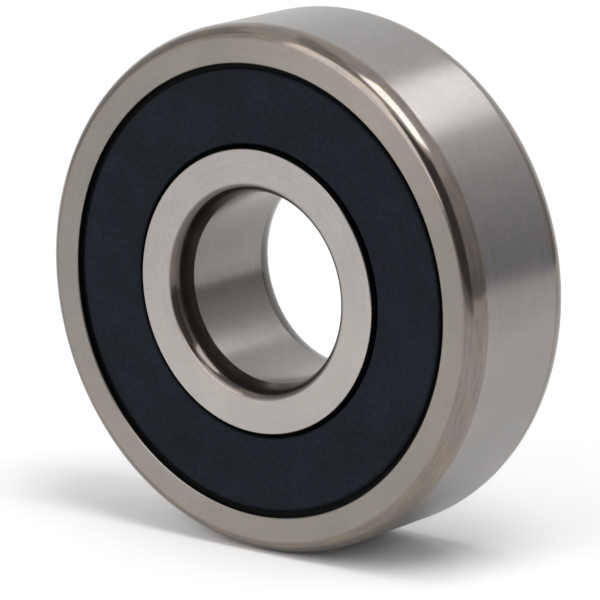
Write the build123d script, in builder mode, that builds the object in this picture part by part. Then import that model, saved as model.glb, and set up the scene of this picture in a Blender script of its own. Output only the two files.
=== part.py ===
from build123d import *
import os
from math import acos, asin, degrees, floor, pi, sqrt

# Deep groove ball bearing, 17 x 47 x 14 mm, with a riveted ribbon cage and a rubber seal on each side.
#
# The bearing's axis is Y and its mid plane is XZ, so the origin is the centre of the bearing. The front
# face looks along -Y and +Z is up. Rings and seals are sections drawn on the XY plane, where x is the
# radius and y the distance from the mid plane, and are revolved about Y. All sizes are in millimetres.

# Rings
bore_diameter = 17.0
outside_diameter = 47.0
bore_corner_radial = 1.35
bore_corner_axial = 4.06
bore_grinding = 0.15
outside_corner_radial = 1.3
outside_corner_axial = 2.0
edge_break = 0.1

# Balls and raceways
ball_diameter = 8.73
race_clearance = 0.01
inner_conformity = 0.52
outer_conformity = 0.53
shoulder_height = 1.65

# Cage: two ribbons pressed from sheet, riveted together on the lands between the balls
cage_sheet = 0.8
cage_width = 3.8
pocket_clearance = 0.135
bend_radius = 0.5
rivet_diameter = 1.4
rivet_head_diameter = 2.4
rivet_head_height = 0.7
rivet_clearance = 0.01
rivet_land_margin = 0.05
land_overlap = 0.3

# Seals: a rubber ring moulded over a pressed steel core, snapped into a groove of the outer ring
cage_seal_gap = 0.2
seal_depth = 1.23
seal_recess = 0.27
inner_seal_step = 0.62
inner_step_drop = 0.1
outer_seal_step = 1.4
inner_face_gap = 0.4
outer_face_gap = 0.5
seal_groove_depth = 0.58
seal_groove_play = 0.02
snap_lip_slope = 0.12
bead_thickness = 0.85
bead_play = 0.03
bead_chamfer = 0.2
rim_rounding = 0.3
lip_chamfer = 0.1
foot_depth = 0.45
lip_clearance = 0.05
lip_tip_width = 0.15
lip_slope = 0.4
lip_length = 0.75
core_sheet = 0.3
core_cover = 0.15
core_bend = 0.2
core_edge_overlap = 0.45

# Radii, worked out from the pitch circle, which lies midway between bore and outside
bore_radius = bore_diameter / 2
outside_radius = outside_diameter / 2
pitch_radius = (bore_radius + outside_radius) / 2
ball_radius = ball_diameter / 2
inner_race_bottom = pitch_radius - ball_radius - race_clearance
outer_race_bottom = pitch_radius + ball_radius + race_clearance
inner_race_radius = inner_conformity * ball_diameter
outer_race_radius = outer_conformity * ball_diameter
inner_shoulder = inner_race_bottom + shoulder_height
outer_shoulder = outer_race_bottom - shoulder_height
seal_land_radius = inner_shoulder - inner_seal_step
recess_radius = outer_shoulder + outer_seal_step
groove_radius = recess_radius + seal_groove_depth

# Distances from the mid plane, stacked up from the ball to the ring face (7 mm)
pocket_radius = ball_radius + pocket_clearance
cage_height = pocket_radius + cage_sheet
seat_level = cage_height + cage_seal_gap
bead_level = seat_level + bead_thickness
seal_level = seat_level + seal_depth
face_level = seal_level + seal_recess
inner_step_level = seat_level - inner_step_drop

# Pocket section: dome, flared foot and land share one bend centre, (bend_reach, foot_radius)
foot_radius = bend_radius + cage_sheet
foot_angle = degrees(asin(foot_radius / (pocket_radius + foot_radius)))
bend_reach = sqrt((pocket_radius + foot_radius) ** 2 - foot_radius**2)

# As many balls as leave a flat land for a rivet head between neighbouring pockets
land_length = rivet_head_diameter + 2 * rivet_land_margin
ball_count = floor(pi / asin((bend_reach + land_length / 2) / pitch_radius))
ball_places = [Plane.ZX * place for place in PolarLocations(pitch_radius, ball_count)]
rivet_start = 180 / ball_count

os.makedirs("parts", exist_ok=True)


def save(piece, name):
    """Label a finished piece and write it as parts/NAME.step"""
    piece.part.label = name
    export_step(piece.part, f"parts/{name}.step")


# Outer ring. The raceway's arc ends where it meets the shoulder, the corner is a quarter of an ellipse,
# and the other half is the mirror image.
outer_arc_centre = outer_race_bottom - outer_race_radius
outer_arc_angle = degrees(acos((outer_shoulder - outer_arc_centre) / outer_race_radius))
outside_corner_centre = (outside_radius - outside_corner_radial, face_level - outside_corner_axial)

with BuildPart() as outer_ring:
    with BuildSketch():
        with BuildLine():
            raceway = CenterArc((outer_arc_centre, 0), outer_race_radius, 0, outer_arc_angle)
            corner = EllipticalCenterArc(
                outside_corner_centre, outside_corner_radial, outside_corner_axial, arc_size=90
            )
            Line((outside_radius, 0), corner @ 0)
            Polyline(
                corner @ 1,
                (recess_radius + edge_break, face_level),
                (recess_radius, face_level - edge_break),
                (recess_radius, bead_level + seal_groove_play + snap_lip_slope),
                (groove_radius, bead_level + seal_groove_play),
                (groove_radius, seat_level),
                (outer_shoulder + edge_break, seat_level),
                (outer_shoulder, seat_level - edge_break),
                raceway @ 1,
            )
            mirror(about=Plane.XZ)
        make_face()
    revolve(axis=Axis.Y)
save(outer_ring, "outer_ring")

# Inner ring, with a lower land on each side for the lip of the seal. Grinding the bore after turning
# cuts the elliptical corners, so 1.2 x 2.2 mm is left of each and they end in a crisp edge.
inner_arc_centre = inner_race_bottom + inner_race_radius
inner_arc_angle = degrees(acos((inner_arc_centre - inner_shoulder) / inner_race_radius))
turned_bore_radius = bore_radius - bore_grinding
bore_corner_centre = (turned_bore_radius + bore_corner_radial, face_level - bore_corner_axial)
bore_corner_sweep = degrees(asin(1 - bore_grinding / bore_corner_radial))

with BuildPart() as inner_ring:
    with BuildSketch():
        with BuildLine():
            raceway = CenterArc((inner_arc_centre, 0), inner_race_radius, 180, -inner_arc_angle)
            corner = EllipticalCenterArc(
                bore_corner_centre,
                bore_corner_radial,
                bore_corner_axial,
                start_angle=90,
                arc_size=bore_corner_sweep,
            )
            Line((bore_radius, 0), corner @ 1)
            Polyline(
                corner @ 0,
                (seal_land_radius - edge_break, face_level),
                (seal_land_radius, face_level - edge_break),
                (seal_land_radius, inner_step_level),
                (inner_shoulder - edge_break, inner_step_level),
                (inner_shoulder, inner_step_level - edge_break),
                raceway @ 1,
            )
            mirror(about=Plane.XZ)
        make_face()
    revolve(axis=Axis.Y)
save(inner_ring, "inner_ring")

# Balls, from the top clockwise as the front face shows them
for number, place in enumerate(ball_places, start=1):
    with BuildPart(place) as ball:
        Sphere(ball_radius)
    save(ball, f"ball_{number}")

# Cage pocket about Z: the dome over a ball, the flared foot and a rim that merges with the lands
with BuildPart() as pocket:
    with BuildSketch(Plane.XZ):
        with BuildLine():
            CenterArc((0, 0), pocket_radius, 90, foot_angle - 90)
            CenterArc((bend_reach, foot_radius), foot_radius, 180 + foot_angle, 90 - foot_angle)
            Polyline(
                (bend_reach, 0),
                (bend_reach + land_overlap, 0),
                (bend_reach + land_overlap, cage_sheet),
                (bend_reach, cage_sheet),
            )
            CenterArc((bend_reach, foot_radius), bend_radius, 180 + foot_angle, 90 - foot_angle)
            CenterArc((0, 0), cage_height, 90, foot_angle - 90)
            Line((0, cage_height), (0, pocket_radius))
        make_face()
    revolve(axis=Axis.Z)

# Cage half: flat lands on the mid plane, pockets between them, all trimmed to the ribbon's width
with BuildPart(Plane.ZX) as cage_rear:
    with BuildSketch(Plane.ZX):
        Circle(pitch_radius + cage_width / 2)
        Circle(pitch_radius - cage_width / 2, mode=Mode.SUBTRACT)
        with PolarLocations(pitch_radius, ball_count):
            Circle(bend_reach, mode=Mode.SUBTRACT)
    extrude(amount=cage_sheet)
    with PolarLocations(pitch_radius, ball_count):
        add(pocket.part)
    with BuildSketch(Plane.ZX):
        Circle(pitch_radius + cage_width / 2)
        Circle(pitch_radius - cage_width / 2, mode=Mode.SUBTRACT)
    extrude(amount=cage_height, mode=Mode.INTERSECT)
    with PolarLocations(pitch_radius, ball_count, start_angle=rivet_start):
        Hole(rivet_diameter / 2 + rivet_clearance)
save(cage_rear, "cage_rear")

with BuildPart() as cage_front:
    mirror(cage_rear.part, about=Plane.XZ)
save(cage_front, "cage_front")

# Cage rivets, one in the middle of each land, with a round head on either side
head_level = cage_sheet + rivet_head_height
head_dome = (rivet_head_diameter**2 / 4 + rivet_head_height**2) / (2 * rivet_head_height)

with BuildPart() as rivet:
    with BuildSketch(Plane.XZ):
        with BuildLine():
            crown = RadiusArc((0, head_level), (rivet_head_diameter / 2, cage_sheet), head_dome)
            Polyline(crown @ 1, (rivet_diameter / 2, cage_sheet), (rivet_diameter / 2, 0))
            Line((0, head_level), (0, 0))
            mirror(about=Plane.XZ)
        make_face()
    revolve(axis=Axis.Z)

with BuildPart(Plane.ZX) as cage_rivets:
    with PolarLocations(pitch_radius, ball_count, start_angle=rivet_start):
        add(rivet.part)
save(cage_rivets, "cage_rivets")

# Seal core: a flat pressed washer with its outer edge turned in
face_inner_radius = seal_land_radius + inner_face_gap
face_outer_radius = recess_radius - outer_face_gap
web_level = seat_level + foot_depth
core_inner_radius = face_inner_radius + lip_length
core_outer_radius = face_outer_radius - core_cover
core_flange_radius = core_outer_radius - core_sheet

with BuildSketch() as core_section:
    with BuildLine():
        Polyline(
            (core_inner_radius, web_level),
            (core_flange_radius, web_level),
            (core_flange_radius, seat_level + core_cover),
            (core_outer_radius, seat_level + core_cover),
            (core_outer_radius, web_level + core_sheet),
            (core_inner_radius, web_level + core_sheet),
            close=True,
        )
    make_face()
    bend = core_section.vertices().group_by(Axis.Y)[-1].sort_by(Axis.X)[-1]
    chamfer(bend, length=core_bend)

with BuildPart() as rear_seal_core:
    add(core_section.sketch)
    revolve(axis=Axis.Y)
save(rear_seal_core, "rear_seal_core")

with BuildPart() as front_seal_core:
    mirror(rear_seal_core.part, about=Plane.XZ)
save(front_seal_core, "front_seal_core")

# Seal rubber: face, bead and foot in the outer ring's groove, and a lip that runs on the inner ring
foot_inner_radius = core_flange_radius - core_cover
lip_radius = seal_land_radius + lip_clearance
lip_level = web_level - core_cover

with BuildPart() as rear_seal_rubber:
    with BuildSketch() as rubber_section:
        with BuildLine():
            Polyline(
                (face_inner_radius, seal_level),
                (face_outer_radius, seal_level),
                (face_outer_radius, bead_level),
                (groove_radius - bead_play, bead_level),
                (groove_radius - bead_play, seat_level),
                (foot_inner_radius, seat_level),
                (foot_inner_radius, web_level),
                (core_inner_radius + core_edge_overlap, web_level),
                (core_inner_radius + core_edge_overlap, lip_level),
                (lip_radius, lip_level),
                (lip_radius, lip_level + lip_tip_width),
                (face_inner_radius, lip_level + lip_tip_width + lip_slope),
                close=True,
            )
        make_face()
        face_corners = rubber_section.vertices().group_by(Axis.Y)[-1].sort_by(Axis.X)
        chamfer(face_corners[0], length=lip_chamfer)
        fillet(face_corners[-1], radius=rim_rounding)
        chamfer(rubber_section.vertices().group_by(Axis.X)[-1], length=bead_chamfer)
        add(core_section.sketch, mode=Mode.SUBTRACT)
    revolve(axis=Axis.Y)
save(rear_seal_rubber, "rear_seal_rubber")

with BuildPart() as front_seal_rubber:
    mirror(rear_seal_rubber.part, about=Plane.XZ)
save(front_seal_rubber, "front_seal_rubber")
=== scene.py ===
# %% [markdown]
# # A sealed ball bearing
# This notebook dresses a finished CAD model of a deep groove ball bearing: 17 mm bore, 47 mm outside,
# 14 mm wide. The rings, balls, cage, rivets and seals arrive as exact meshes that already move on their
# joints, so the work here is what a CAD model leaves out: ground, turned, pressed and moulded surfaces,
# and the studio that they are seen in. Steel is almost all reflection, so the studio matters as much as
# the materials do.

# %% Load the model
import bpy
from math import cos, pi, radians, sin
from mathutils import Matrix, Vector


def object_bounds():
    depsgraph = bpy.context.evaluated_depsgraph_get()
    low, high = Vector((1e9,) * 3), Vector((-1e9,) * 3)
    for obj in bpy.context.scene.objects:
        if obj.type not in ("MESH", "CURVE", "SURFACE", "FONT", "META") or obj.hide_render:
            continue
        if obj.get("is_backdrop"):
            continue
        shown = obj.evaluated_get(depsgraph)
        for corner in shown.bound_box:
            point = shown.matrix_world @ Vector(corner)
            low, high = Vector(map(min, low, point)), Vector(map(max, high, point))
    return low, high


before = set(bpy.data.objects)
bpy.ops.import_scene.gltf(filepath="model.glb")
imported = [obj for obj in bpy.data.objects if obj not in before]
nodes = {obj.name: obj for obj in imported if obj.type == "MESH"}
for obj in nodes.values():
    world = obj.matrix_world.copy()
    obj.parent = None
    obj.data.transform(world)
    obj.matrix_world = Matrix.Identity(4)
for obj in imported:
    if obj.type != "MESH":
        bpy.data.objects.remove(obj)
cad_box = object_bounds()
print("nodes:", ", ".join(sorted(nodes)))
print("box in mm:", [[round(v * 1000, 2) for v in corner] for corner in cad_box])

# %% [markdown]
# ## Sizes
# Every size below is in millimetres, as on a bearing drawing, and becomes Blender's metres where it is
# used. Both rings have the same kind of section, one turned inside out: a narrow ground band as the side
# face, an elliptical corner, a ground wall that is the outside or the bore, and a recess at the seal.

# %% Sizes
MM = 0.001
half_width, outside_radius = 7.0, 23.5

# edge: the radius where the side face meets the corner.   end: the height above the mid plane where the
# corner meets the wall.   arc: the half axes of the corner's ellipse, along the radius and along the axis.
# recess: the radius where the side face meets the recess.   outward: 1 where the corner lies outside its
# edge, -1 where it lies inside.
outer_section = dict(edge=22.2, end=5.0, arc=(1.3, 2.0), recess=20.125, outward=1)
inner_section = dict(edge=9.7, end=4.8, arc=(1.35, 4.06), recess=12.62, outward=-1)
for title, section in (("outer", outer_section), ("inner", inner_section)):
    print(f"{title} side face: {abs(section['edge'] - section['recess']):.2f} mm wide")

# %% [markdown]
# ## Helpers
# A material is a tree of nodes, and most of the work below is adding a node, setting it and linking it.
# One function does that for every kind of node. Colours are written as the hex codes of a paint program,
# which are made for the eye, so one function turns them into amounts of light.

# %% Colour, node and empty material


def colour(code):
    """sRGB hex to the linear RGBA that a socket holds"""
    parts = [int(code[i:i + 2], 16) / 255 for i in (1, 3, 5)]
    return [p / 12.92 if p <= 0.04045 else ((p + 0.055) / 1.055) ** 2.4 for p in parts] + [1.0]


def node(tree, kind, sockets=None, **settings):
    """Add one node. Settings are its properties; sockets hold a value or take a link."""
    new = tree.nodes.new("ShaderNode" + kind)
    for name, value in settings.items():
        setattr(new, name, value)
    for name, value in (sockets or {}).items():
        if isinstance(value, bpy.types.NodeSocket):
            tree.links.new(value, new.inputs[name])
        else:
            new.inputs[name].default_value = value
    return new


def new_material(name):
    """A material without nodes, and its tree"""
    material = bpy.data.materials.new(name)
    material.use_nodes = True
    material.node_tree.nodes.clear()
    return material, material.node_tree


WHITE = colour("#ffffff")
print("grey 9a948c is", [round(v, 3) for v in colour("#9a948c")[:3]], "in linear light")

# %% [markdown]
# ## The camera
# The bearing stands on its rim and is seen from its front right and a little above, with a long lens, so
# that the two sides of the rings stay nearly parallel. The camera's own axes come from two angles, which
# is easier to adjust than a place and a target.

# %% Camera
azimuth, elevation = radians(37.447), radians(12.919)
camera_distance, camera_left, camera_down = 421.6, 0.31, 1.90
back = Vector((sin(azimuth) * cos(elevation), -cos(azimuth) * cos(elevation), sin(elevation)))
right = Vector((cos(azimuth), sin(azimuth), 0.0))
up = back.cross(right)
lens = bpy.data.cameras.new("studio_camera")
lens.sensor_width, lens.sensor_fit, lens.lens = 36.0, "HORIZONTAL", 286.9
camera = bpy.data.objects.new("studio_camera", lens)
stand = back * camera_distance - right * camera_left - up * camera_down
camera.matrix_world = Matrix.Translation(stand * MM) @ Matrix((right, up, back)).transposed().to_4x4()
bpy.context.scene.collection.objects.link(camera)
bpy.context.scene.camera = camera
print("camera stands at", [round(v * 1000, 1) for v in camera.matrix_world.translation], "mm")

# %% [markdown]
# ## The white studio
# A bearing on a white sweep is lit by soft boxes, and the polished steel shows each of them. The floor and
# the sky are white to the camera and to every mirror ray, which gives the clean background. For ordinary
# light they are weaker, so that the boxes shape the object and its shadow stays on the floor. The same could
# be had from one studio picture wrapped round the scene, but a few shapes are easier to move and to read.

# %% White sky
bpy.context.scene.view_settings.view_transform = "Standard"
sky_fill = 0.42


def is_seen(tree):
    """A socket that is 1 for rays from the camera, from a mirror or through glass, and 0 for plain light"""
    rays = node(tree, "LightPath")
    seen = node(tree, "Math", {0: rays.outputs["Is Camera Ray"], 1: rays.outputs["Is Glossy Ray"]},
                operation="ADD")
    return node(tree, "Math", {0: seen.outputs[0], 1: rays.outputs["Is Transmission Ray"]},
                operation="ADD", use_clamp=True).outputs[0]


world = bpy.data.worlds.new("white_studio")
bpy.context.scene.world = world
world.use_nodes = True
tree = world.node_tree
tree.nodes.clear()
fill = node(tree, "Background", {"Color": WHITE, "Strength": sky_fill})
white = node(tree, "Background", {"Color": WHITE, "Strength": 1.0})
sky = node(tree, "MixShader", {0: is_seen(tree), 1: fill.outputs[0], 2: white.outputs[0]})
node(tree, "OutputWorld", {"Surface": sky.outputs[0]})
print(f"sky: strength 1 where it is seen, {sky_fill} as light")

# %% [markdown]
# The sweep is a roll of white paper that starts under the object and curves up far behind it. A large flat
# floor that turns into an even white glow further out looks the same and needs no curve. Real paper returns
# about 0.8 of the light. Where the camera and the mirrors see it, this one returns more than real paper
# could, so that it is white and joins the glow without an edge, and still darkens where the shadow falls.

# %% White floor
floor_half = 4000
glow_start, glow_full = 75, 150
paper_grey, paper_shown = 0.8, 1.22


def sheet(name, corners, faces=None):
    """A stage piece from corners in millimetres, with one face through them all unless faces are given"""
    mesh = bpy.data.meshes.new(name)
    points = [[v * MM for v in corner] for corner in corners]
    mesh.from_pydata(points, [], faces or [range(len(corners))])
    piece = bpy.data.objects.new(name, mesh)
    bpy.context.scene.collection.objects.link(piece)
    piece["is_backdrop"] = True
    return piece


floor = sheet("floor", [(x * floor_half, y * floor_half, -outside_radius)
                        for x, y in ((-1, -1), (1, -1), (1, 1), (-1, 1))])
paper, tree = new_material("white_paper_sweep")
place = node(tree, "TexCoord")
reach = node(tree, "VectorMath", {0: place.outputs["Object"]}, operation="LENGTH")
far = node(tree, "MapRange", {0: reach.outputs["Value"], 1: glow_start * MM, 2: glow_full * MM},
           interpolation_type="SMOOTHSTEP")
paper_lit = node(tree, "BsdfDiffuse", {"Color": [paper_grey] * 3 + [1.0]})
paper_near = node(tree, "BsdfDiffuse", {"Color": [paper_shown] * 3 + [1.0]})
paper_far = node(tree, "Emission", {"Color": WHITE, "Strength": 1.0})
shown = node(tree, "MixShader", {0: far.outputs[0], 1: paper_near.outputs[0], 2: paper_far.outputs[0]})
finish = node(tree, "MixShader", {0: is_seen(tree), 1: paper_lit.outputs[0], 2: shown.outputs[0]})
node(tree, "OutputMaterial", {"Surface": finish.outputs[0]})
floor.data.materials.append(paper)
print(f"floor: paper up to {glow_start} mm, an even white from {glow_full} mm on")

# %% [markdown]
# ## Soft boxes
# A soft box is a lamp behind a stretched cloth: an even bright rectangle, which is just what an area light
# is. The boxes above and behind show as the bright streaks on the steel. The one in front is split in two,
# a lamp that only matt surfaces see and a window that only mirrors see, because a matt face and a mirror
# want different brightness.

# %% Soft boxes


def compass(turn, height):
    """A direction from two angles in degrees: a turn of 0 is in front of the face, 90 is on its right"""
    turn, height = radians(turn), radians(height)
    return sin(turn) * cos(height), -cos(turn) * cos(height), sin(height)


def soft_box(name, towards, distance, width, height, radiance, aim=(0, 0, 0), matt=True, gloss=True):
    """An area light at a distance in a direction from aim, as bright per area as asked"""
    lamp = bpy.data.lights.new(name, "AREA")
    lamp.shape, lamp.size, lamp.size_y = "RECTANGLE", width * MM, height * MM
    lamp.energy = radiance * pi * width * height * MM * MM
    holder = bpy.data.objects.new(name, lamp)
    away = Vector(towards).normalized()
    place = (Vector(aim) + away * distance) * MM
    holder.matrix_world = Matrix.Translation(place) @ away.to_track_quat("Z", "Y").to_matrix().to_4x4()
    holder.visible_camera = False
    holder.visible_diffuse, holder.visible_glossy = matt, gloss
    bpy.context.scene.collection.objects.link(holder)
    print(f"{name}: {lamp.energy:.3f} W at {distance} mm")


soft_box("box_above", compass(71, 68), distance=700, width=340, height=400, radiance=3.8)
soft_box("halo_above", compass(66, 70), distance=750, width=450, height=440, radiance=0.7)
soft_box("box_front", compass(-14, 28), distance=700, width=500, height=560, radiance=1.85, gloss=False)
soft_box("window_front", compass(-14, 28.5), distance=700, width=450, height=698, radiance=1.7, matt=False)
soft_box("box_behind", compass(171, 38.5), distance=85, width=37, height=16, radiance=2.75,
         aim=(15.1, 0, 18.0))

# %% [markdown]
# ## Grey cards
# Steel needs more than light: it needs dark things to mirror, or it looks like white plastic. A studio hangs
# grey cards round the set for this. Real ones are lit by whatever light falls on them. Here each card glows
# with its own even grey, which shows in the mirror as it is, and neither the camera nor the shadows see it.

# %% Grey cards that stand round the set
card_steps = 16


def felt(name, foot, top, high=1.0):
    """A grey that goes from foot at the height of the axis to top at high, in millimetres above it"""
    cloth, tree = new_material(name)
    place = node(tree, "TexCoord")
    split = node(tree, "SeparateXYZ", {0: place.outputs["Object"]})
    grey = node(tree, "MapRange", {0: split.outputs["Z"], 1: 0.0, 2: high * MM, 3: foot, 4: top})
    glow = node(tree, "Emission", {"Color": WHITE, "Strength": grey.outputs[0]})
    node(tree, "OutputMaterial", {"Surface": glow.outputs[0]})
    return cloth


def hang(card, cloth):
    """Give a card its cloth and leave it to mirrors and light alone"""
    card.visible_camera = card.visible_shadow = False
    card.data.materials.append(cloth)
    print(f"{card.name}: {cloth.name}")


def bent_card(name, start, end, high, distance):
    """A card that stands on the floor and bends round the set between two compass angles"""
    rim = [compass(start + (end - start) * i / card_steps, 0) for i in range(card_steps + 1)]
    points = [(x * distance, y * distance, z) for z in (-outside_radius, high) for x, y, _ in rim]
    return sheet(name, points, [(i, i + 1, i + card_steps + 2, i + card_steps + 1)
                                for i in range(card_steps)])


for name, start, end, high, distance, foot, top in (
        ("flag_behind", 138, 165, 226, 400, 0.36, 0.78),
        ("flag_right", 70, 138, 350, 420, 0.36, 0.78),
        ("flag_camera_side", 9, 70, 465, 450, 0.12, 0.12),
        ("flag_camera_foot", -8, 9, 39, 455, 0.2, 0.3),
        ("flag_left", -115, -58, 500, 450, 0.66, 0.66)):
    hang(bent_card(name, start, end, high, distance), felt(name + "_felt", foot, top, high))

# %% [markdown]
# A corner mirrors the floor where it is on the lower half of a ring, and the ceiling on the upper half. So
# one grey sheet lies on the floor, a hair above the paper: a painted shadow on the floor on the camera's
# side, which only the mirrors show. Two more hang overhead on the side away from the soft box. They are
# flat, because a mirror shows only where a card ends and how grey it is.

# %% Grey cards on the floor and overhead
# A painted shadow: this grey sheet shows in the mirrors as a shaded floor on the camera's side.
floor_shadow_turns, floor_shadow_near, floor_shadow_far, floor_shadow_lift = range(-8, 71, 13), 180, 440, 0.1
floor_shadow_level = Vector((0, 0, floor_shadow_lift - outside_radius))
painted_floor_shadow = sheet("flag_painted_floor_shadow",
              [Vector(compass(turn, 0)) * floor_shadow_near + floor_shadow_level for turn in floor_shadow_turns]
              + [Vector(compass(turn, 0)) * floor_shadow_far + floor_shadow_level for turn in reversed(floor_shadow_turns)])
hang(painted_floor_shadow, felt("grey_felt_painted_floor_shadow", 0.35, 0.35))

ceiling_distance, ceiling_low, ceiling_high = 700, 57, 82
ceiling_felt = felt("grey_felt_ceiling", 0.6, 0.6)
for name, start, end in (("flag_ceiling_left", -135, -30), ("flag_ceiling_front", -30, 18)):
    corners = (start, ceiling_low), (end, ceiling_low), (end, ceiling_high), (start, ceiling_high)
    hang(sheet(name, [Vector(compass(*corner)) * ceiling_distance for corner in corners]), ceiling_felt)

# %% [markdown]
# ## Bearing steel
# Both rings are chromium steel, hardened through and then ground. Grinding leaves two kinds of surface. The
# outside and the bore carry fine lines that run round the axis, so they spread a reflection along the axis
# and keep it sharp around it. The side faces are ground flat and look satin. The corner arcs are only turned
# before hardening: they are smoother to the eye, and the heat leaves a thin oxide on them, brown in places
# and grey in others. The recesses at the seals are turned too and lie in the dark, and their near-black
# tone paints that dark in: painted shade. Four materials on four sets of faces would do, but the model's
# faces come as one skin, so one material holds it all: masks made from the distance to the axis and to the
# mid plane choose the zone.

# %% Where a point lies on a ring
corner_blend, recess_blend, wall_blend = 0.25, 0.03, 0.05


def ring_place(tree):
    """Sockets for a point's place, its radius, its height from the mid plane, its side and its heading"""
    place = node(tree, "TexCoord").outputs["Object"]
    split = node(tree, "SeparateXYZ", {0: place})
    flat = node(tree, "CombineXYZ", {0: split.outputs["X"], 2: split.outputs["Z"]})
    return dict(
        place=place,
        radius=node(tree, "VectorMath", {0: flat.outputs[0]}, operation="LENGTH").outputs["Value"],
        height=node(tree, "Math", {0: split.outputs["Y"]}, operation="ABSOLUTE").outputs[0],
        side=node(tree, "Math", {0: split.outputs["Y"]}, operation="SIGN").outputs[0],
        heading=node(tree, "VectorMath", {0: flat.outputs[0]}, operation="NORMALIZE").outputs[0])


def ring_masks(tree, at, section):
    """Sockets that are 1 on the corner, in the recess and on the wall; the side face is what is left"""
    edge, end, recess, outward = (section[key] for key in ("edge", "end", "recess", "outward"))
    spans = {"corner": (at["radius"], edge, edge + corner_blend * outward),
             "recess": (at["radius"], recess + recess_blend * outward, recess),
             "wall": (at["height"], end + wall_blend, end - wall_blend)}
    return {zone: node(tree, "MapRange", {0: value, 1: start * MM, 2: stop * MM}).outputs[0]
            for zone, (value, start, stop) in spans.items()}


print("zones, laid over the side face in this order: corner, recess, wall")

# %% [markdown]
# Grinding and turning leave lines that run round the axis. Noise gives blobs, but it becomes lines where it
# reads a slow number along them and a fast one across. The slow one is the heading, a point on a circle, so
# the lines close without a seam, which a flat picture wound round the ring would show.

# %% Lines, clouds and specks
grinding = dict(length=8, spacing=0.22)     # real grinding lines are ten times finer, too fine to show
turning = dict(length=2.2, spacing=0.35)    # turning lines are three times finer, too fine to show
cloud_size, speck_size = 5, 0.5             # blotches at their real size; real grit is finer than the specks
noise_low, noise_high = 0.3, 0.7            # nearly all of a noise lies between these two
line_radius = 20


def line_noise(tree, heading, across, length, spacing):
    """Noise in lines round the axis, from their length at line_radius and their spacing"""
    circle = node(tree, "VectorMath", {0: heading, "Scale": line_radius / length}, operation="SCALE")
    step = node(tree, "Math", {0: across, 1: 1 / (spacing * MM)}, operation="MULTIPLY")
    return node(tree, "TexNoise", {"Vector": circle.outputs[0], "W": step.outputs[0], "Scale": 1.0,
                                   "Detail": 3.0, "Roughness": 0.6}, noise_dimensions="4D").outputs[0]


def ring_patterns(tree, at, outward):
    """Sockets for the grinding lines, the turned streaks, the clouds and the specks, each from 0 to 1"""
    across = node(tree, "Math", {0: at["radius"], 1: -outward, 2: at["height"]},
                  operation="MULTIPLY_ADD").outputs[0]
    return dict(
        grain=line_noise(tree, at["heading"], across, **grinding),
        streak=line_noise(tree, at["heading"], across, **turning),
        cloud=node(tree, "TexNoise", {0: at["place"], "Scale": 1 / (cloud_size * MM),
                                      "Detail": 3.0}).outputs[0],
        speck=node(tree, "TexNoise", {0: at["place"], "Scale": 1 / (speck_size * MM),
                                      "Detail": 2.0}).outputs[0])


print("grinding lines drawn every", grinding["spacing"], "mm, streaks every", turning["spacing"], "mm")

# %% [markdown]
# Each zone has its own tone and roughness, and these are laid over each other from the side face outwards.
# The oxide on the corner is a mix of brown and grey along the streaks. In the bore it gets darker towards
# the wall and a little less metallic. Clouds, specks and grinding lines then vary the tone by a tenth at
# most, which is enough to keep the steel from looking painted.

# %% Tone, metal and roughness
cloud_share, patina_low, patina_high = 0.2, 0.37, 0.63
deep_start, deep_full = 0.4, 0.75
swings = {"cloud": 0.04, "speck": 0.03, "grain": 0.04}
rough_swing = 0.08


def ring_tones(tree, at, masks, pattern, section, zones, depth, bare):
    """Sockets for base colour, metallic and roughness"""
    edge, outward = section["edge"], section["outward"]
    brown, grey = zones["corner"][0]
    patch = node(tree, "Mix", {"Factor": cloud_share, "A": pattern["streak"], "B": pattern["cloud"]})
    patina = node(tree, "MapRange", {0: patch.outputs["Result"], 1: patina_low, 2: patina_high})
    oxide = node(tree, "Mix", {"Factor": patina.outputs[0], "A": colour(brown), "B": colour(grey)},
                 data_type="RGBA")
    deep = node(tree, "MapRange", {0: at["radius"], 1: (edge + deep_start * outward) * MM,
                                   2: (edge + deep_full * outward) * MM, 3: 1.0, 4: depth})
    turned = node(tree, "VectorMath", {0: oxide.outputs["Result"], "Scale": deep.outputs[0]},
                  operation="SCALE").outputs[0]

    tone, rough = colour(zones["face"][0]), zones["face"][1]
    # The recess tone laid over here is near-black: painted shade for the groove under the seal.
    for zone, over in (("corner", turned), ("recess", colour(zones["recess"][0])),
                       ("wall", colour(zones["wall"][0]))):
        tone = node(tree, "Mix", {"Factor": masks[zone], "A": tone, "B": over},
                    data_type="RGBA").outputs["Result"]
        rough = node(tree, "Mix", {"Factor": masks[zone], "A": rough, "B": zones[zone][1]}).outputs["Result"]

    shade = 1.0
    for name, swing in swings.items():
        vary = node(tree, "MapRange", {0: pattern[name], 1: noise_low, 2: noise_high,
                                       3: 1 - swing, 4: 1 + swing})
        shade = node(tree, "Math", {0: shade, 1: vary.outputs[0]}, operation="MULTIPLY").outputs[0]
    base = node(tree, "VectorMath", {0: tone, "Scale": shade}, operation="SCALE")
    spread = node(tree, "MapRange", {0: pattern["grain"], 1: 0.2, 2: 0.8,
                                     3: 1 - rough_swing, 4: 1 + rough_swing})
    rough = node(tree, "Math", {0: rough, 1: spread.outputs[0]}, operation="MULTIPLY")
    oxide_metal = node(tree, "MapRange", {0: masks["corner"], 3: 1.0, 4: bare})
    metallic = node(tree, "Mix", {"Factor": masks["wall"], "A": oxide_metal.outputs[0], "B": 1.0})
    return base.outputs[0], metallic.outputs["Result"], rough.outputs[0]


print("the tone varies either way by", " and ".join(f"{v:.0%} ({k})" for k, v in swings.items()))

# %% [markdown]
# A revolved face starts and ends at a seam, where a mesh's normals break by a degree, and a mirror shows
# that as a line. The section's own arithmetic has no seam: an ellipse's normal is the place from its centre
# over its half axes squared. On the side face it points along the axis, and on the wall along the radius.
# In the recess, which has more shapes than one ellipse, the mesh's normal stays.

# %% The exact normal of a ring
arc_off, arc_on = 0.11, 0.12


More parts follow.
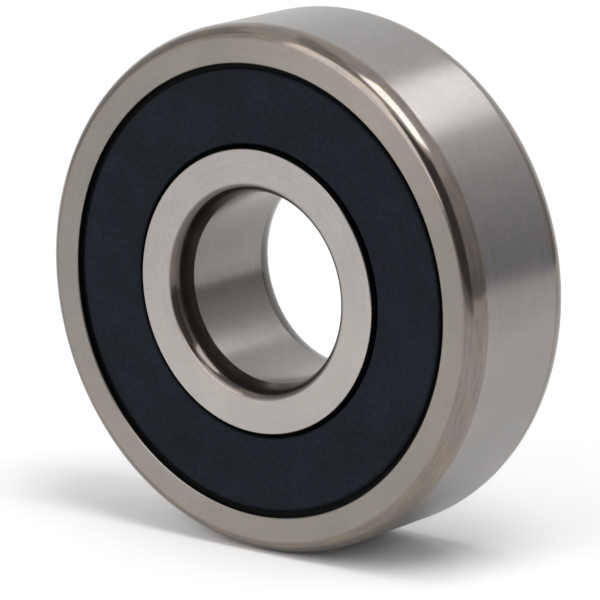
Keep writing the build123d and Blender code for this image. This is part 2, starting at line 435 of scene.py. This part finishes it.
def ring_normal(tree, at, on_wall, section):
    """A socket for the section's own normal, in world space"""
    edge, recess, outward = section["edge"], section["recess"], section["outward"]
    radial_half, axial_half = section["arc"]
    level = half_width - axial_half
    outwards = node(tree, "MapRange", {0: at["radius"], 1: edge * MM,
                                       2: (edge + outward * radial_half) * MM, 4: outward / radial_half})
    endwards = node(tree, "MapRange", {0: at["height"], 1: level * MM, 2: half_width * MM,
                                       4: 1 / axial_half})
    outwards = node(tree, "Mix", {"Factor": on_wall, "A": outwards.outputs[0], "B": float(outward)})
    endwards = node(tree, "Mix", {"Factor": on_wall, "A": endwards.outputs[0], "B": 0.0})
    endwards = node(tree, "Math", {0: endwards.outputs["Result"], 1: at["side"]}, operation="MULTIPLY")
    outwards = node(tree, "VectorMath", {0: at["heading"], "Scale": outwards.outputs["Result"]},
                    operation="SCALE")
    endwards = node(tree, "CombineXYZ", {1: endwards.outputs[0]})
    exact = node(tree, "VectorMath", {0: outwards.outputs[0], 1: endwards.outputs[0]}, operation="ADD")
    exact = node(tree, "VectorTransform", {0: exact.outputs[0]}, vector_type="NORMAL",
                 convert_from="OBJECT", convert_to="WORLD")
    off_arc = node(tree, "MapRange", {0: at["radius"], 1: (recess + arc_on * outward) * MM,
                                      2: (recess + arc_off * outward) * MM})
    meshed = node(tree, "NewGeometry")
    return node(tree, "Mix", {"Factor": off_arc.outputs[0], "A": exact.outputs[0],
                              "B": meshed.outputs["Normal"]}, data_type="VECTOR").outputs["Result"]


print(f"the exact normal ends {arc_on} mm before the recess")

# %% [markdown]
# The metal itself is one shader. Grinding lines are far too shallow to see as grooves: what they do is to
# stretch each highlight across themselves, which is what anisotropy gives, with a tangent that runs round
# the axis. A very low bump adds the little that a sharp reflection shows of them.

# %% Ring steel
groove_depth = 0.0006


def ring_steel(name, section, depth, bare, **zones):
    """Ground chromium steel. Each zone is a tone and a roughness. Depth scales the oxide's tone near the
    wall, and bare is how metallic the corner is."""
    steel, tree = new_material(name)
    at = ring_place(tree)
    masks = ring_masks(tree, at, section)
    pattern = ring_patterns(tree, at, section["outward"])
    base, metallic, rough = ring_tones(tree, at, masks, pattern, section, zones, depth, bare)
    bumps = node(tree, "Bump", {"Height": pattern["grain"], "Distance": groove_depth * MM, "Strength": 0.5,
                                "Normal": ring_normal(tree, at, masks["wall"], section)})
    around = node(tree, "Tangent", direction_type="RADIAL", axis="Y")
    metal = node(tree, "BsdfPrincipled", {
        "Base Color": base, "Metallic": metallic, "Roughness": rough, "Anisotropic": 0.6,
        "Anisotropic Rotation": 0.25, "Normal": bumps.outputs[0], "Tangent": around.outputs[0]})
    node(tree, "OutputMaterial", {"Surface": metal.outputs[0]})
    return steel


def dress(name, material):
    """Put one material in every slot of a node"""
    for slot in nodes[name].material_slots:
        slot.material = material
    print(f"{name}: {material.name}")


# Each ring's recess tone, 1d1c1b, is painted shade for the dark groove under the seal.
dress("outer_ring", ring_steel(
    "chromium_steel_ground_outer", outer_section, depth=1.0, bare=1.0, face=("#8f8983", 0.38),
    corner=(("#8a7f71", "#746f70"), 0.15), recess=("#1d1c1b", 0.5), wall=("#8e8b89", 0.26)))
dress("inner_ring", ring_steel(
    "chromium_steel_ground_inner", inner_section, depth=0.5, bare=0.8, face=("#aba5a1", 0.2),
    corner=(("#695e55", "#656160"), 0.13), recess=("#1d1c1b", 0.5), wall=("#85817d", 0.26)))

# %% [markdown]
# ## Rubber
# The seals are nitrile rubber, filled with carbon black and moulded on a steel washer. The mould is finely
# eroded, so the face is matt, with almost no shine and a faint mottle. One even black would do from afar,
# but close by it looks like a hole, so clouds and specks vary it and small bumps break up what shine there
# is. Below the face, in the narrow gap at each ring, hardly any light gets out again, so the colour there is
# painted nearly black: painted shade.

# %% Rubber
gap_height, face_height = 6.4, 6.68
mottle_size, mottle_fine, pore_size = 4, 0.45, 0.3    # an eroded mould's pits are finer, too fine to show
pore_depth = 0.02


def nitrile():
    """Carbon black nitrile rubber from an eroded mould, painted nearly black below its face as shade in the
    gap
    """
    rubber, tree = new_material("nitrile_rubber_moulded")
    place = node(tree, "TexCoord")
    split = node(tree, "SeparateXYZ", {0: place.outputs["Object"]})
    height = node(tree, "Math", {0: split.outputs["Y"]}, operation="ABSOLUTE")
    open_face = node(tree, "MapRange", {0: height.outputs[0], 1: gap_height * MM, 2: face_height * MM})
    cloud, pores, speck = (
        node(tree, "TexNoise", {0: place.outputs["Object"], "Scale": 1 / (size * MM), "Detail": detail})
        for size, detail in ((mottle_size, 3.0), (pore_size, 2.0), (mottle_fine, 3.0)))
    mottle = node(tree, "Mix", {"Factor": 0.6, "A": cloud.outputs[0], "B": speck.outputs[0]})
    mottle = node(tree, "MapRange", {0: mottle.outputs["Result"], 1: 0.35, 2: 0.65})
    tone = node(tree, "Mix", {"Factor": mottle.outputs[0], "A": colour("#0f141b"), "B": colour("#1b232b")},
                data_type="RGBA")
    # Below gap_height the colour is painted 040404: painted shade in the gap at each ring.
    shown = node(tree, "Mix", {"Factor": open_face.outputs[0], "A": colour("#040404"),
                               "B": tone.outputs["Result"]}, data_type="RGBA")
    bumps = node(tree, "Bump", {"Height": pores.outputs[0], "Distance": pore_depth * MM, "Strength": 0.6})
    surface = node(tree, "BsdfPrincipled", {
        "Base Color": shown.outputs["Result"], "Roughness": 0.75, "Specular IOR Level": 0.13,
        "Normal": bumps.outputs[0]})
    node(tree, "OutputMaterial", {"Surface": surface.outputs[0]})
    return rubber


rubber = nitrile()
for name in ("front_seal_rubber", "rear_seal_rubber"):
    dress(name, rubber)

# %% [markdown]
# ## Balls and cage
# Balls are lapped to a mirror. The cage is pressed from soft steel strip and tumbled, which leaves it satin,
# and the rivets are the same steel as wire, with cold formed heads. The washers inside the seals are
# phosphated, a dull grey that rubber grips. None of these is seen while the seals are on, but they are there
# when one is taken off. So one plain recipe serves them all: a mottle of the right size that varies the
# tone and the roughness and gives a low bump.

# %% Balls, cage, rivets and seal cores


def plain_steel(name, tone, roughness, spot):
    """Steel with a small mottle of the given size in millimetres"""
    steel, tree = new_material(name)
    place = node(tree, "TexCoord")
    mottle = node(tree, "TexNoise", {0: place.outputs["Object"], "Scale": 1 / (spot * MM), "Detail": 3.0})
    rough = node(tree, "MapRange", {0: mottle.outputs[0], 3: roughness * 0.8, 4: roughness * 1.2})
    shade = node(tree, "MapRange", {0: mottle.outputs[0], 3: 0.9, 4: 1.1})
    base = node(tree, "VectorMath", {0: colour(tone)[:3], "Scale": shade.outputs[0]}, operation="SCALE")
    bumps = node(tree, "Bump", {"Height": mottle.outputs[0], "Distance": roughness * 0.01 * MM,
                                "Strength": 0.5})
    metal = node(tree, "BsdfPrincipled", {
        "Base Color": base.outputs[0], "Metallic": 1.0, "Roughness": rough.outputs[0],
        "Normal": bumps.outputs[0]})
    node(tree, "OutputMaterial", {"Surface": metal.outputs[0]})
    return steel


lapped = plain_steel("chromium_steel_lapped", "#c9c9cb", 0.06, 1.5)
pressed = plain_steel("soft_steel_strip_tumbled", "#a2a2a3", 0.35, 0.5)
headed = plain_steel("soft_steel_wire_headed", "#adadae", 0.3, 0.3)
washer = plain_steel("steel_washer_phosphated", "#6f6f6e", 0.5, 0.4)
finishes = {"cage_front": pressed, "cage_rear": pressed, "cage_rivets": headed,
            "front_seal_core": washer, "rear_seal_core": washer}
finishes.update({f"ball_{number}": lapped for number in range(1, 8)})
for name, finish in finishes.items():
    dress(name, finish)

# %% [markdown]
# ## Finish
# A finish must not change a size. The box round all the pieces is measured again and set against the box
# that the CAD model came with, and the largest difference is printed.

# %% Compare the boxes and finish
seen_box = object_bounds()
growth = max(abs(a - b) for p, q in zip(cad_box, seen_box) for a, b in zip(p, q))
print("largest growth:", growth / MM, "mm")
